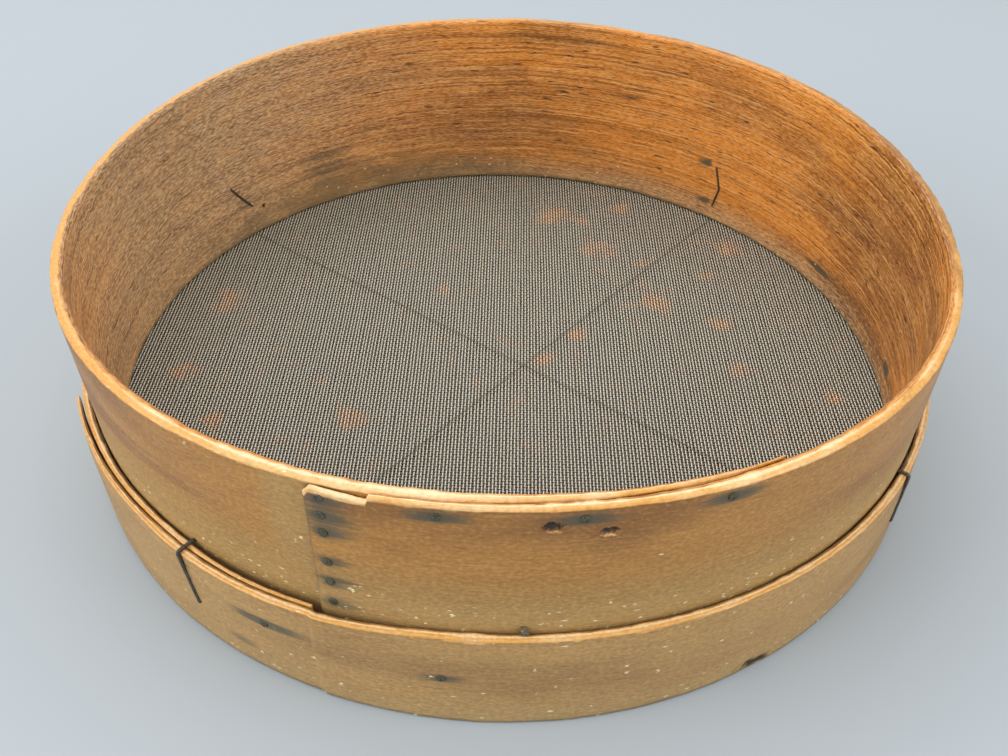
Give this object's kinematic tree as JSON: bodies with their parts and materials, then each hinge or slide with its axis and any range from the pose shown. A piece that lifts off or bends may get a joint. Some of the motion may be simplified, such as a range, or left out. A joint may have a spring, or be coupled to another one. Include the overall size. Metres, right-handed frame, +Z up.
{
  "type": "sieve",
  "caption": "Round bentwood sieve: a tall lapped hoop standing in a short lower hoop that grips a woven wire cloth over its foot, held by wire ties and tacks.",
  "frame": {"origin": "centre of the hoops, on the surface that the lower hoop's edge stands on", "axes": "+Z up out of the bowl, -Y towards the front where the tall hoop's lap joint is, +X to the right of someone facing the front"},
  "size_m": [0.3295, 0.3281, 0.0927],
  "materials": {
    "body_wood": "old hand-worn bent hardwood",
    "collar_wood": "dull dusty bent hardwood",
    "cloth_wire": "dull woven wire",
    "tie_iron": "dark iron wire",
    "tack_iron": "rusted iron"
  },
  "bodies": {
    "root": {"upper_hoop": "body_wood", "lower_hoop": "collar_wood", "wire_cloth": "cloth_wire", "cloth_hem": "cloth_wire", "support_wire_1": "tie_iron", "support_wire_2": "tie_iron", "tie_wire_back_right": "tie_iron", "tie_wire_back_left": "tie_iron", "tie_wire_front_left": "tie_iron", "tie_wire_front_right": "tie_iron", "lap_tack_1": "tack_iron", "lap_tack_2": "tack_iron", "lap_tack_3": "tack_iron", "lap_tack_4": "tack_iron", "lap_tack_5": "tack_iron", "lap_tack_6": "tack_iron", "rim_tack_1": "tack_iron", "rim_tack_2": "tack_iron", "rim_tack_3": "tack_iron", "collar_nail_1": "tack_iron", "collar_nail_2": "tack_iron", "stop_nail": "tack_iron"}
  },
  "joints": []
}
